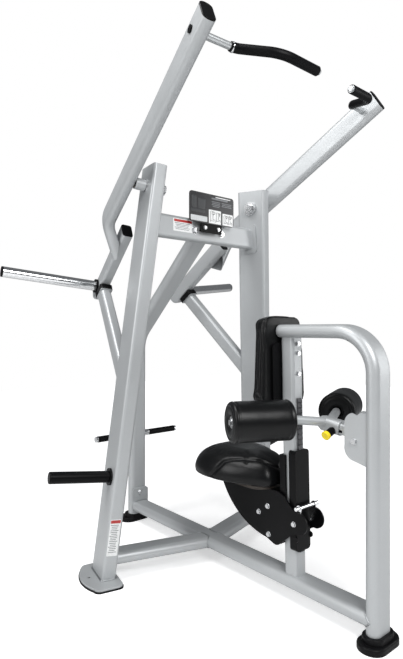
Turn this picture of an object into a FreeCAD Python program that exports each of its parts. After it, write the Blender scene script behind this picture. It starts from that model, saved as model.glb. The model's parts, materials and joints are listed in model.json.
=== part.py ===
import FreeCAD, Part
import math
import os
from FreeCAD import Vector

# Plate-loaded lat pulldown machine.  Millimetres.
# Working frame: X is across the machine (+X to the right), Y runs back from the front post,
# Z is up from the floor.  Everything is moved by CENTRE on export, so that the origin is the
# middle of the machine's floor rectangle.

# ---------------------------------------------------------------- driving dimensions
OVAL_WIDE, OVAL_DEEP, WALL = 100.0, 50.0, 3.0      # flat-oval frame tube
BOOT_WIDE, BOOT_DEEP = 168.0, 98.0                 # moulded floor boots
BOOT_STEP, BOOT_TOP, BOOT_SOLE = 22.0, 42.0, 8.0
ARCH_Z, ARCH_END, ARCH_BEND = 1035.0, 404.0, 142.0
RAIL_Z = 85.0
SPINE_Y, SPINE_BEND_Z, SPINE_BEND = 1465.0, 994.0, 150.0
REAR_FOOT_Y = 1488.0
BRACKET_THICK, BRACKET_LOW, BRACKET_HIGH = 10.0, 45.0, 180.0

BEAM_Y, BEAM_Z, BEAM_TALL, BEAM_DEEP = 887.0, 1491.0, 100.0, 50.0
SIDE_RAIL_START_Y, SIDE_RAIL_END = 845.0, (478.0, 988.0)

TOE, TILT, LEAN = 12.0, 6.4, 0.0563                # arm plane: toe-in, inward tilt; upright lean
PIVOT = Vector(-247.0, 856.0, 1634.0)              # inner end of the left pivot bolt
UP_WIDE, UP_DEEP, UP_CORNER, UP_WALL = 60.0, 148.0, 12.0, 4.0
UP_A, UP_F, UP_TOP = 60.0, -3.0, 85.0              # upright centre and top, in the arm frame
PAD_THICK, PLATE_THICK = 6.0, 8.0
FOOT_CENTRE = (467.0, 986.0)
ANCHOR = (531.0, 1001.0)
ANCHOR_R = 7.0

SHAFT_R, HUB_R, BEARING_R = 15.0, 24.0, 19.0
RUNNING = 0.05                                     # radial clearance of a turning fit
ARM_A, ARM_WIDE, ARM_DEEP, ARM_CORNER = 164.0, 50.0, 100.0, 22.0
ARM_TOP, ARM_BEND = (594.7, 391.2), (-259.0, -121.0)
ARM_FOOT, ARM_BEND_R = (105.0, -285.0, -227.0), 95.0
WEIGHT_A, WEIGHT_WIDE, WEIGHT_DEEP = 77.0, 50.0, 75.0
WEIGHT_TOP, WEIGHT_END = (-222.0, -152.0), (-590.0, -436.5)
SLEEVE_R, SLEEVE_LONG, SLEEVE_WALL = 25.0, 437.0, 6.0
SLEEVE_FN = (-526.0, -388.0)
HANDLE_R, GRIP_R, HANDLE_BACK = 12.5, 16.5, 69.0
HANDLE_TURN = (18.8, 541.4, 356.0)
HANDLE_KNEE = (-90.5, 656.5, 320.0)
HANDLE_TIP = (-252.0, 642.0, 323.0)
BUMPER_ALONG, BUMPER_GAP, BUMPER_TALL, BUMPER_WIDE, BUMPER_DEEP = 363.0, 1.0, 28.0, 64.0, 88.0
STAY_START, STAY_WIDE, STAY_DEEP = (58.0, -80.0, -830.0), 50.0, 70.0
PEG_FN, PEG_R = (-57.9, -1224.6), 24.0

POST_SIDE, POST_CORNER = 60.0, 12.0                # seat post
POST_FOOT, POST_HEAD = Vector(0, 349.0, 110.0), Vector(0, 369.0, 1010.0)
RACK_WIDE, RACK_THICK, TOOTH, TOOTH_PITCH = 24.0, 4.0, 3.5, 20.0
RACK_LOW, RACK_HIGH = 90.0, 670.0
CHEST_LOW, CHEST_HIGH, CHEST_THICK = 640.0, 984.0, 70.0
CHEST_WIDE_LOW, CHEST_WIDE_HIGH, BOARD_THICK = 258.0, 210.0, 8.5
KNEE_BOLT = (66.0, 665.0)
STEM_START, STEM_END = Vector(0, 124.0, 692.0), Vector(0, 240.0, 706.0)
BAR_LONG, CAVITY_END, SLEEVE_START, SLEEVE_END = 52.0, 84.0, 14.0, 92.0   # along the stem
BAR_SIDE, STEM_SIDE, STEM_CLEAR = 40.0, 52.0, 0.5
KNEE_TRAVEL = 30.0
FORK_R, ROLLER_R, ROLLER_LONG, AXLE_R = 16.0, 72.5, 240.0, 12.5
ROLLER_INNER, ROLLER_OUTER = Vector(-136.0, 260.0, 723.0), Vector(-338.0, 357.0, 723.0)
FORK_ROOT = Vector(0, 194.0, 708.0)

X_AXIS, Y_AXIS, Z_AXIS = Vector(1, 0, 0), Vector(0, 1, 0), Vector(0, 0, 1)
CENTRE = Vector(0, -((REAR_FOOT_Y + BOOT_DEEP / 2) - BOOT_DEEP / 2) / 2, 0)


# ---------------------------------------------------------------- helpers
def frame(origin, ex, ey, ez):
    """Placement that carries local x, y, z to the given unit vectors at origin."""
    matrix = FreeCAD.Matrix(ex.x, ey.x, ez.x, origin.x, ex.y, ey.y, ez.y, origin.y,
                            ex.z, ey.z, ez.z, origin.z, 0, 0, 0, 1)
    return FreeCAD.Placement(matrix)


def unit(v):
    """Copy of v at length one."""
    w = Vector(v)
    w.normalize()
    return w


def place(shape, placement):
    """Copy of shape carried by placement."""
    moved = shape.copy()
    moved.Placement = placement.multiply(moved.Placement)
    return moved


def mirrored(shape):
    """The other side's copy."""
    return shape.mirror(Vector(0, 0, 0), X_AXIS)


def both(shape):
    """Left and right copies as one group."""
    return Part.makeCompound([shape, mirrored(shape)])


def section(centre, u, v, wide, deep, corner):
    """Rounded rectangle, wide along u and deep along v."""
    corner = min(corner, wide / 2, deep / 2)
    half_u, half_v = wide / 2, deep / 2
    turns = [(1, 1), (-1, 1), (-1, -1), (1, -1)]
    edges, ends = [], []
    for index, (su, sv) in enumerate(turns):
        middle = centre + u * (su * (half_u - corner)) + v * (sv * (half_v - corner))
        first, last = (u * su, v * sv) if su == sv else (v * sv, u * su)
        start, end = middle + first * corner, middle + last * corner
        through = middle + unit(first + last) * corner
        ends.append((start, end, through))
    for index, (start, end, through) in enumerate(ends):
        edges.append(Part.Arc(start, through, end).toShape())
        following = ends[(index + 1) % 4][0]
        if end.distanceToPoint(following) > 1e-6:
            edges.append(Part.LineSegment(end, following).toShape())
    return Part.Wire(edges)


def rounded_path(points, radii):
    """Straight runs joined by tangent arcs."""
    edges, start = [], points[0]
    for before, corner, after, radius in zip(points, points[1:], points[2:], radii):
        into, out = unit(corner - before), unit(after - corner)
        half = into.getAngle(out) / 2
        reach = radius * math.tan(half)
        first, last = corner - into * reach, corner + out * reach
        centre = corner + unit(out - into) * (radius / math.cos(half))
        through = centre + unit(corner - centre) * radius
        edges.append(Part.LineSegment(start, first).toShape())
        edges.append(Part.Arc(first, through, last).toShape())
        start = last
    edges.append(Part.LineSegment(start, points[-1]).toShape())
    return Part.Wire(edges)


def swept(points, radii, u, wide, deep, corner):
    """Solid bar of rounded-rectangle section along a path; u is the wide direction at its start."""
    along = unit(points[1] - points[0])
    u = unit(u - along * u.dot(along))
    v = along.cross(u)
    wire = section(points[0], u, v, wide, deep, corner)
    if len(points) == 2:
        return Part.Face(wire).extrude(points[1] - points[0])
    solid = rounded_path(points, radii).makePipeShell([wire], True, False)
    if solid.Volume < 0:
        solid.reverse()
    return solid


def tube(points, radii, u, wide, deep, corner, wall, closed=(False, False)):
    """Hollow bar and its filled outer shape; closed says which ends have a wall."""
    outer = swept(points, radii, u, wide, deep, corner)
    inside = list(points)
    for end, other in ((0, 1), (-1, -2)):
        step = unit(inside[other] - inside[end])
        inside[end] = inside[end] + step * (wall if closed[end] else -1.0)
    inner = swept(inside, radii, u, wide - 2 * wall, deep - 2 * wall, max(corner - wall, 1.0))
    return outer.cut(inner), outer


def rod(start, end, radius):
    """Round bar between two points."""
    return Part.makeCylinder(radius, start.distanceToPoint(end), start, end - start)


def pipe(start, end, radius, bore):
    """Round tube between two points."""
    return rod(start, end, radius).cut(rod(start, end, bore))


def slab(outline, thickness):
    """Plate from a closed wire, extruded by the vector thickness."""
    return Part.Face(outline).extrude(thickness)


def cuboid(low, high, placement=None):
    """Box between two corners, in the frame of placement."""
    size = Vector(*high) - Vector(*low)
    box = Part.makeBox(size.x, size.y, size.z, Vector(*low))
    return place(box, placement) if placement else box


def softened(solid, radius, chosen):
    """Solid with the chosen edges rounded."""
    return solid.makeFillet(radius, [edge for edge in solid.Edges if chosen(edge)])


def hex_bolt(seat, out, across=17.0, head=7.0, washer=12.0, shank=0.0, shank_r=5.0):
    """Hexagon head on a washer, seated at a point and facing out, with its shank behind."""
    out = unit(out)
    side = unit(out.cross(Z_AXIS)) if abs(out.z) < 0.9 else X_AXIS
    up = out.cross(side)
    base = seat + out * 2.0
    radius = across / math.sqrt(3)
    turns = [math.radians(60 * k + 30) for k in range(7)]
    ring = [base + side * (radius * math.cos(t)) + up * (radius * math.sin(t)) for t in turns]
    bolt = Part.Face(Part.makePolygon(ring)).extrude(out * head)
    bolt = bolt.fuse(rod(seat, base, washer))
    return bolt.fuse(rod(seat - out * shank, seat, shank_r)) if shank else bolt


def export(name, shape):
    """Write one node, moved to the machine's own origin."""
    moved = shape.copy()
    moved.translate(CENTRE)
    solids = moved.Solids
    print(name, len(solids), round(moved.Volume), moved.isValid(),
          [round(v, 1) for v in (moved.BoundBox.XMin, moved.BoundBox.YMin, moved.BoundBox.ZMin,
                                 moved.BoundBox.XMax, moved.BoundBox.YMax, moved.BoundBox.ZMax)])
    final = solids[0] if len(solids) == 1 else Part.makeCompound(solids)
    final.exportStep("parts/" + name + ".step")


# Arm frame of the left side: local x out along the pivot axis, y forward, z up.
toe, tilt = math.radians(TOE), math.radians(TILT)
WING_A = Vector(-math.cos(toe) * math.cos(tilt), math.sin(toe) * math.cos(tilt), math.sin(tilt))
WING_F = Vector(-math.sin(toe), -math.cos(toe), 0)
WING_N = WING_A.cross(WING_F)
WING = frame(PIVOT, WING_A, WING_F, WING_N)

# Seat post frame: local x across, y back, z up the leaning post.
POST_UP = unit(POST_HEAD - POST_FOOT)
SEAT = frame(POST_FOOT, X_AXIS, POST_UP.cross(X_AXIS), POST_UP)


# ---------------------------------------------------------------- floor frame
def boot(centre_y, leg):
    """Moulded rubber boot with a stepped collar round a leg."""
    middle = Vector(0, centre_y, 0)
    sole = slab(section(middle, X_AXIS, Y_AXIS, BOOT_WIDE, BOOT_DEEP, BOOT_DEEP), Z_AXIS * BOOT_STEP)
    sole = softened(sole, 7.0, lambda e: e.BoundBox.ZMin > BOOT_STEP - 1)
    collar_at = Vector(0, (centre_y + leg.BoundBox.Center.y) / 2 if centre_y else 0, 0)
    collar = slab(section(collar_at, X_AXIS, Y_AXIS, OVAL_WIDE + 26, OVAL_DEEP + 26, OVAL_DEEP),
                  Z_AXIS * BOOT_TOP)
    collar = softened(collar, 6.0, lambda e: e.BoundBox.ZMin > BOOT_TOP - 1)
    return sole.fuse(collar).removeSplitter().cut(leg)


def frame_posts():
    """Front post with its arch, rear spine, and their boots."""
    foot = Vector(0, 0, BOOT_SOLE)
    corner, end = Vector(0, 0, ARCH_Z), Vector(0, ARCH_END, ARCH_Z)
    arch, arch_outer = tube([foot, corner, end], [ARCH_BEND], X_AXIS, OVAL_WIDE, OVAL_DEEP,
                            OVAL_DEEP / 2, WALL, (False, True))
    beam_rear = BEAM_Y + BEAM_DEEP / 2
    slope = Vector(0, BEAM_Y, BEAM_Z + (beam_rear - BEAM_Y) * 0.9)
    spine, spine_outer = tube([Vector(0, SPINE_Y, BOOT_SOLE), Vector(0, SPINE_Y, SPINE_BEND_Z), slope],
                              [SPINE_BEND], X_AXIS, OVAL_WIDE, OVAL_DEEP, OVAL_DEEP / 2, WALL)
    front_leg = slab(section(foot, X_AXIS, Y_AXIS, OVAL_WIDE, OVAL_DEEP, OVAL_DEEP), Z_AXIS * 90)
    rear_leg = slab(section(Vector(0, SPINE_Y, BOOT_SOLE), X_AXIS, Y_AXIS, OVAL_WIDE, OVAL_DEEP,
                            OVAL_DEEP), Z_AXIS * 90)
    export("front_boot", boot(0.0, front_leg))
    export("rear_foot", boot(REAR_FOOT_Y, rear_leg))
    export("front_post_arch", arch)
    return arch_outer, spine, spine_outer


def main_rail(post_outer):
    """Floor rail from the front post to the spine bracket."""
    end_y = SPINE_Y - OVAL_DEEP / 2 - BRACKET_THICK
    rail, outer = tube([Vector(0, 0, RAIL_Z), Vector(0, end_y, RAIL_Z)], [], X_AXIS, OVAL_WIDE,
                       OVAL_DEEP, OVAL_DEEP / 2, WALL)
    export("base_rail", rail.cut(post_outer))
    plate = section(Vector(0, end_y, (BRACKET_LOW + BRACKET_HIGH) / 2), X_AXIS, Z_AXIS,
                    OVAL_WIDE, BRACKET_HIGH - BRACKET_LOW, 14.0)
    export("spine_bracket", slab(plate, Y_AXIS * BRACKET_THICK))
    return outer


def crossbeam():
    """Beam between the uprights, with an end plate on each."""
    reach = Vector(340, BEAM_Y, BEAM_Z)
    beam, outer = tube([Vector(-reach.x, reach.y, reach.z), reach], [], Z_AXIS, BEAM_TALL, BEAM_DEEP,
                       14.0, WALL)
    inner_face = UP_A - UP_WIDE / 2
    plate_thick = 6.0
    beyond = cuboid((inner_face - plate_thick, -300, -500), (400, 300, 300), WING)
    beam = beam.cut(beyond).cut(mirrored(beyond))
    outer = outer.cut(beyond).cut(mirrored(beyond))
    plate = slab(section(Vector(inner_face - plate_thick, -17, -147), Y_AXIS, Z_AXIS, 80, 140, 16),
                 X_AXIS * plate_thick)
    export("crossbeam", beam)
    export("crossbeam_plates", both(place(plate, WING)))
    return outer


def upright():
    """Left upright on its foot plate, and its filled outer shape."""
    top = Vector(UP_A, UP_F + LEAN * UP_TOP, UP_TOP)
    low = -1660.0
    bottom = Vector(UP_A, UP_F + LEAN * low, low)
    hollow, outer = tube([top, bottom], [], X_AXIS, UP_WIDE, UP_DEEP, UP_CORNER, UP_WALL,
                         (True, False))
    below = cuboid((-900, 600, -100), (0, 1400, PAD_THICK + PLATE_THICK))
    shaft = place(rod(Vector(-50, 0, 0), Vector(200, 0, 0), SHAFT_R), WING)
    return place(hollow, WING).cut(below).cut(shaft), place(outer, WING).cut(below)


def foot_outline(grow, z):
    """Outline of the left foot plate: straight inside edge, bowed outside edge."""
    centre = Vector(-FOOT_CENTRE[0], FOOT_CENTRE[1], z)
    out = Vector(-math.cos(toe), math.sin(toe), 0)
    half, inner, outer, bow = 124.0 + grow, 44.0 + grow, 66.0 + grow, 100.0 + grow
    corner = 24.0

    def at(a, f):
        return centre + out * a + WING_F * f
    cut = corner * (1 - math.sqrt(0.5))
    edges = [Part.LineSegment(at(-inner, half - corner), at(-inner, -half + corner)),
             Part.Arc(at(-inner, -half + corner), at(-inner + cut, -half + cut),
                      at(-inner + corner, -half)),
             Part.LineSegment(at(-inner + corner, -half), at(outer - corner, -half)),
             Part.Arc(at(outer - corner, -half), at(outer - cut + 4, -half + cut - 1),
                      at(outer + 7, -half + corner)),
             Part.Arc(at(outer + 7, -half + corner), at(bow, 0), at(outer + 7, half - corner)),
             Part.Arc(at(outer + 7, half - corner), at(outer - cut + 4, half - cut + 1),
                      at(outer - corner, half)),
             Part.LineSegment(at(outer - corner, half), at(-inner + corner, half)),
             Part.Arc(at(-inner + corner, half), at(-inner + cut, half - cut),
                      at(-inner, half - corner))]
    return Part.Wire([edge.toShape() for edge in edges])


def feet():
    """Steel foot plates on rubber pads, each with its anchor hole."""
    hole = Part.makeCylinder(ANCHOR_R, 60, Vector(-ANCHOR[0], ANCHOR[1], -10))
    pad = slab(foot_outline(3.0, 0.0), Z_AXIS * PAD_THICK).cut(hole)
    plate = slab(foot_outline(0.0, PAD_THICK), Z_AXIS * PLATE_THICK).cut(hole)
    export("foot_pads", both(pad))
    export("foot_plates", both(plate))


def side_rail(rail_outer, upright_outer):
    """Left floor rail from the main rail to the upright."""
    start = Vector(0, SIDE_RAIL_START_Y, RAIL_Z)
    end = Vector(-SIDE_RAIL_END[0], SIDE_RAIL_END[1], RAIL_Z)
    across = unit((end - start).cross(Z_AXIS))
    rail, outer = tube([start, end], [], across, OVAL_WIDE, OVAL_DEEP, OVAL_DEEP / 2, WALL)
    cut = rail.cut(rail_outer).cut(upright_outer)
    keep = sorted(cut.Solids, key=lambda s: s.Volume)[-1]
    return keep


# ---------------------------------------------------------------- stays, pegs and placard
WEIGHT_DIR = unit(Vector(0, WEIGHT_END[0] - WEIGHT_TOP[0], WEIGHT_END[1] - WEIGHT_TOP[1]))
WEIGHT_DOWN = Vector(0, -WEIGHT_DIR.z, WEIGHT_DIR.y)
BUMPER_TOP = (Vector(WEIGHT_A, WEIGHT_TOP[0], WEIGHT_TOP[1]) + WEIGHT_DIR * BUMPER_ALONG
              + WEIGHT_DOWN * (WEIGHT_DEEP / 2 + BUMPER_GAP))


def stay(upright_outer):
    """Left stay from the back of the upright to the bumper, with its seat plate."""
    seat_plate = 3.0
    top = BUMPER_TOP + WEIGHT_DOWN * BUMPER_TALL
    end = top + WEIGHT_DOWN * seat_plate
    start = Vector(*STAY_START)
    beyond = end + unit(end - start) * 40.0
    bar, outer = tube([start, beyond], [], X_AXIS, STAY_WIDE, STAY_DEEP, 14.0, WALL)
    square = frame(end, X_AXIS, WEIGHT_DIR, WEIGHT_DOWN)
    above = cuboid((-150, -150, -200), (150, 150, 0), square)
    plate = slab(section(end, X_AXIS, WEIGHT_DIR, BUMPER_WIDE - 6, BUMPER_DEEP - 6, 10),
                 WEIGHT_DOWN * -seat_plate)
    body = bar.cut(above).fuse(plate)
    bumper = slab(section(top, X_AXIS, WEIGHT_DIR, BUMPER_WIDE, BUMPER_DEEP, 12),
                  WEIGHT_DOWN * -BUMPER_TALL)
    crown = BUMPER_TOP.dot(WEIGHT_DOWN)
    bumper = softened(bumper, 4.0, lambda e: all(abs(v.Point.dot(WEIGHT_DOWN) - crown) < 1
                                                 for v in e.Vertexes))
    return place(body, WING).cut(upright_outer), place(bumper, WING)


def storage_peg():
    """Left plate-storage peg with its flange."""
    outer_face = UP_A + UP_WIDE / 2
    base = Vector(outer_face, *PEG_FN)
    flange = rod(base, base + X_AXIS * 8, 35)
    bar = pipe(base, base + X_AXIS * 246, PEG_R, PEG_R - 4)
    cap = rod(base + X_AXIS * 240, base + X_AXIS * 252, PEG_R)
    cap = softened(cap, 5.0, lambda e: e.BoundBox.XMin > base.x + 251)
    return place(flange.fuse(bar).fuse(cap).removeSplitter(), WING)


def rear_pegs(spine_outer):
    """Short rods on both sides of the spine, with rubber sleeves."""
    y, z, tip = SPINE_Y - 9, 471.0, 256.0
    shaft = rod(Vector(-tip, y, z), Vector(-30, y, z), 11)
    collar = rod(Vector(-66, y, z), Vector(-40, y, z), 17)
    end = rod(Vector(-tip, y, z), Vector(-tip + 12, y, z), 14)
    peg = shaft.fuse(collar).fuse(end).removeSplitter().cut(spine_outer)
    sleeve = pipe(Vector(-tip + 12, y, z), Vector(-66, y, z), 16, 11)
    export("rear_pegs", both(peg))
    export("rear_peg_sleeves", both(sleeve))


def placard():
    """Instruction placard on a channel bracket in front of the crossbeam."""
    front, thick = 833.0, 4.0
    board = slab(section(Vector(0, front, 1587.5), X_AXIS, Z_AXIS, 265, 135, 14), Y_AXIS * thick)
    beam_front = BEAM_Y - BEAM_DEEP / 2
    back = front + thick
    web = slab(section(Vector(0, back, 1512), X_AXIS, Z_AXIS, 123, 66, 6), Y_AXIS * 5)
    lips = [cuboid((-55, back + 5, z), (55, beam_front, z + 5)) for z in (1486, 1528)]
    export("placard", board)
    export("placard_bracket", web.fuse(lips[0]).fuse(lips[1]).removeSplitter())


# ---------------------------------------------------------------- arms
def handle_points():
    """Handle centre line in the arm frame, from the arm's outer face to its tip."""
    along = unit(Vector(0, ARM_TOP[0] - ARM_BEND[0], ARM_TOP[1] - ARM_BEND[1]))
    root = Vector(ARM_A + ARM_WIDE / 2, ARM_TOP[0], ARM_TOP[1]) - along * HANDLE_BACK
    turn = Vector(HANDLE_TURN[0], root.y, root.z)
    return [root, turn, Vector(*HANDLE_KNEE), Vector(*HANDLE_TIP)]


def arm_parts():
    """Every piece of the left arm, in the arm frame, by name."""
    top, bend = Vector(ARM_A, *ARM_TOP), Vector(ARM_A, *ARM_BEND)
    foot = Vector(*ARM_FOOT)
    inside = foot + unit(foot - bend) * 45.0
    hollow, arm_outer = tube([top, bend, inside], [ARM_BEND_R], X_AXIS, ARM_WIDE, ARM_DEEP,
                             ARM_CORNER, WALL, (False, False))
    w_top, w_end = Vector(WEIGHT_A, *WEIGHT_TOP), Vector(WEIGHT_A, *WEIGHT_END)
    weight, weight_outer = tube([w_top, w_end - WEIGHT_DIR * (WEIGHT_DEEP / 2)], [], X_AXIS,
                                WEIGHT_WIDE, WEIGHT_DEEP, 13.0, WALL, (False, True))
    nose = w_end - WEIGHT_DIR * (WEIGHT_DEEP / 2)
    nose_round = rod(nose - X_AXIS * (WEIGHT_WIDE / 2), nose + X_AXIS * (WEIGHT_WIDE / 2),
                     WEIGHT_DEEP / 2)
    nose_round = softened(nose_round, 12.0, lambda e: e.Length > 100)
    weight = weight.fuse(nose_round.cut(weight_outer)).removeSplitter()
    weight_outer = weight_outer.fuse(nose_round)

    points = handle_points()
    handle_bends = [45.0, 90.0]
    path = rounded_path(points, handle_bends)
    handle_start = Part.Wire(Part.makeCircle(HANDLE_R, points[0], X_AXIS * -1.0))
    handle_outer = path.makePipeShell([handle_start], True, False)
    grip_start = Vector(41.0, points[0].y, points[0].z)
    grip_path = rounded_path([grip_start] + points[1:], handle_bends)
    grip_ring = Part.Wire(Part.makeCircle(GRIP_R, grip_start, X_AXIS * -1.0))
    grip = grip_path.makePipeShell([grip_ring], True, False)
    grip = softened(grip, 3.0, lambda e: e.Length < 2 * math.pi * GRIP_R + 1
                    and e.Length > 2 * math.pi * GRIP_R - 1 and e.Closed).cut(handle_outer)
    tip_dir = unit(points[3] - points[2])
    bore_points = [points[0] + X_AXIS, points[1], points[2], points[3] + tip_dir]
    bore_ring = Part.Wire(Part.makeCircle(HANDLE_R - 2.5, bore_points[0], X_AXIS * -1.0))
    handle = handle_outer.cut(rounded_path(bore_points, handle_bends).makePipeShell([bore_ring],
                                                                                  True, False))
    inboard = cuboid((-200, -600, -600), (WEIGHT_A + WEIGHT_WIDE / 2, 0, 100))
    arm = hollow.cut(inboard).cut(handle_outer)
    arm = sorted(arm.Solids, key=lambda s: s.Volume)[-1]

    along = unit(top - bend)
    arm_up = along.cross(X_AXIS)
    cap = slab(section(top, X_AXIS, arm_up, ARM_WIDE, ARM_DEEP, ARM_CORNER), along * 5)
    cap = softened(cap, 3.5, lambda e: e.CenterOfMass.dot(along) > top.dot(along) + 4.9)
    plug = slab(section(top, X_AXIS, arm_up, ARM_WIDE - 2 * WALL, ARM_DEEP - 2 * WALL,
                        ARM_CORNER - WALL), along * -14)
    w_up = WEIGHT_DOWN * -1.0
    w_cap = slab(section(w_top, X_AXIS, w_up, WEIGHT_WIDE, WEIGHT_DEEP, 13), WEIGHT_DIR * -5)
    w_cap = softened(w_cap, 3.5, lambda e: e.CenterOfMass.dot(WEIGHT_DIR)
                     < w_top.dot(WEIGHT_DIR) - 4.9)
    w_plug = slab(section(w_top, X_AXIS, w_up, WEIGHT_WIDE - 2 * WALL, WEIGHT_DEEP - 2 * WALL, 10),
                  WEIGHT_DIR * 14)
    root_plug = rod(points[0], points[0] + X_AXIS * 5, HANDLE_R + 1)
    root_plug = root_plug.fuse(rod(points[0] - X_AXIS * 10, points[0], HANDLE_R - 2.5))
    tip_plug = rod(points[3] - tip_dir * 4, points[3] + tip_dir * 9, HANDLE_R - 2)
    tip_plug = softened(tip_plug, 3.0, lambda e: e.Closed and e.CenterOfMass.distanceToPoint(
        points[3] + tip_dir * 9) < 0.1)
    handle = handle.fuse(tip_plug).removeSplitter()
    caps = [cap.fuse(plug), w_cap.fuse(w_plug), root_plug]

    outer_face, arm_inner = UP_A + UP_WIDE / 2, ARM_A - ARM_WIDE / 2
    hub = pipe(Vector(outer_face + 6, 0, 0), Vector(arm_inner, 0, 0), HUB_R, BEARING_R)
    long = 14.0
    first, last = outer_face + 8, arm_inner - 2 - long
    bearings = [pipe(Vector(a, 0, 0), Vector(a + long, 0, 0), BEARING_R, SHAFT_R + RUNNING)
                for a in (first, last)]

    weight_face = WEIGHT_A + WEIGHT_WIDE / 2
    base = Vector(weight_face, *SLEEVE_FN)
    flange_end = base + X_AXIS * 12
    tip = base + X_AXIS * (12 + SLEEVE_LONG)
    bore = SLEEVE_R - SLEEVE_WALL
    spigot = pipe(base, flange_end, SLEEVE_R - 1, bore)
    sleeve = pipe(flange_end, tip, SLEEVE_R, bore).fuse(spigot).removeSplitter()
    flange = pipe(base, flange_end, 34.5, SLEEVE_R - 1)
    end_cap = rod(tip, tip + X_AXIS * 9, SLEEVE_R)
    end_cap = softened(end_cap, 3.0, lambda e: e.BoundBox.XMin > tip.x + 8.9)
    end_cap = end_cap.fuse(rod(tip - X_AXIS * 12, tip, SLEEVE_R - SLEEVE_WALL))
    return {"arm_tube": arm, "weight_arm": weight, "end_caps": Part.makeCompound(caps),
            "hub": hub, "hub_bearings": Part.makeCompound(bearings), "sleeve": sleeve,
            "sleeve_collars": Part.makeCompound([flange, end_cap]), "handle": handle, "grip": grip}


def pivot_shaft():
    """Left pivot shaft through the upright, with its washer and head on the inside."""
    inner_face = UP_A - UP_WIDE / 2
    end = ARM_A - ARM_WIDE / 2 - 2
    shaft = rod(Vector(inner_face, 0, 0), Vector(end, 0, 0), SHAFT_R)
    boss = rod(Vector(inner_face - 10, 0, 0), Vector(inner_face, 0, 0), 33)
    head = hex_bolt(Vector(inner_face - 10, 0, 0), X_AXIS * -1.0, 38.0, 15.0, 27.0)
    collar = pipe(Vector(UP_A + UP_WIDE / 2, 0, 0), Vector(UP_A + UP_WIDE / 2 + 5, 0, 0), 26, SHAFT_R)
    return place(shaft.fuse(boss).fuse(head).fuse(collar).removeSplitter(), WING)


# ---------------------------------------------------------------- seat column
def seat_column(arch_outer, rail_outer):
    """Seat post, its rack, and the chest pad on its board."""
    half = POST_SIDE / 2
    post, outer = tube([POST_FOOT - POST_UP * 15, POST_HEAD + POST_UP * 15], [], X_AXIS, POST_SIDE,
                       POST_SIDE, POST_CORNER, WALL)
    post = post.cut(arch_outer).cut(rail_outer)
    export("seat_post", sorted(post.Solids, key=lambda s: s.Volume)[-1])
    profile = [Vector(0, -half, RACK_LOW), Vector(0, -half - RACK_THICK, RACK_LOW)]
    teeth = int((RACK_HIGH - RACK_LOW) / TOOTH_PITCH)
    for k in range(teeth):
        low = RACK_LOW + k * TOOTH_PITCH
        profile.append(Vector(0, -half - RACK_THICK - TOOTH, low + 2))
        profile.append(Vector(0, -half - RACK_THICK - TOOTH, low + 6))
        profile.append(Vector(0, -half - RACK_THICK, low + TOOTH_PITCH))
    profile += [Vector(0, -half, RACK_HIGH), profile[0]]
    rack = Part.Face(Part.makePolygon([p - X_AXIS * (RACK_WIDE / 2) for p in profile]))
    export("seat_rack", place(rack.extrude(X_AXIS * RACK_WIDE), SEAT))
    board = slab(section(Vector(0, half, 765), X_AXIS, Z_AXIS, 150, 230, 20), Y_AXIS * BOARD_THICK)
    export("chest_pad_board", place(board, SEAT))
    back, low, high = half + BOARD_THICK, CHEST_LOW, CHEST_HIGH
    corners = [(-CHEST_WIDE_LOW / 2, low), (CHEST_WIDE_LOW / 2, low),
               (CHEST_WIDE_HIGH / 2, high), (-CHEST_WIDE_HIGH / 2, high)]
    ring = [Vector(x, back, z) for x, z in corners]
    pad = Part.Face(Part.makePolygon(ring + ring[:1])).extrude(Y_AXIS * CHEST_THICK)
    pad = softened(pad, 38.0, lambda e: abs(e.BoundBox.YLength - CHEST_THICK) < 1)
    pad = softened(pad, 20.0, lambda e: e.BoundBox.YMin > back + CHEST_THICK - 1)
    export("chest_pad", place(pad, SEAT))


CARRIAGE_X, CARRIAGE_WALL, POST_GAP = 40.0, 4.0, 1.0
SIDE_IN, SIDE_THICK = 46.0, 6.0
LEVER_PIVOT = (313.0, 318.0)
LEVER_ROD = (296.0, 379.0)
CROSS_BOLTS = [(490.0, 318.0), (443.0, 352.0), (438.0, 244.0)]


def seat_carriage():
    """Carriage on the post, its side plates, seat board, cushion, bolts and release lever."""
    half, x, wall = POST_SIDE / 2, CARRIAGE_X, CARRIAGE_WALL
    pocket = half + POST_GAP
    front_in = -half - RACK_THICK - TOOTH - POST_GAP
    front = cuboid((-x, front_in - wall, 98), (x, -10, 475), SEAT)
    front = front.cut(cuboid((-pocket, front_in, 90), (pocket, 0, 480), SEAT))
    rear = cuboid((-x, 9, 284), (x, pocket + wall, 453), SEAT)
    rear = rear.cut(cuboid((-pocket, 0, 280), (pocket, pocket, 460), SEAT))
    web = cuboid((-SIDE_IN, pocket, 112), (SIDE_IN, pocket + wall, 310), SEAT)
    face = slab(section(Vector(0, -100, 286.5), X_AXIS, Z_AXIS, 2 * x, 377, 14), Y_AXIS * 150)
    front = front.common(place(face, SEAT))
    spacers = [rod(Vector(s * x, LEVER_PIVOT[0], LEVER_PIVOT[1] - 60),
                   Vector(s * SIDE_IN, LEVER_PIVOT[0], LEVER_PIVOT[1] - 60), 11) for s in (-1, 1)]
    ties = [rod(Vector(-SIDE_IN, y, z), Vector(SIDE_IN, y, z), 12) for y, z in CROSS_BOLTS]
    bores = [rod(Vector(-80, y, z), Vector(80, y, z), 5) for y, z in CROSS_BOLTS]
    joint = cuboid((-SIDE_IN, pocket + wall - 1, 225 - 110), (SIDE_IN, pocket + 50, 231 - 110), SEAT)
    body = front.fuse([rear, web, joint] + spacers)
    export("seat_carriage", Part.makeCompound(body.Solids + [t.cut(Part.makeCompound(bores))
                                                             for t in ties]))


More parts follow.
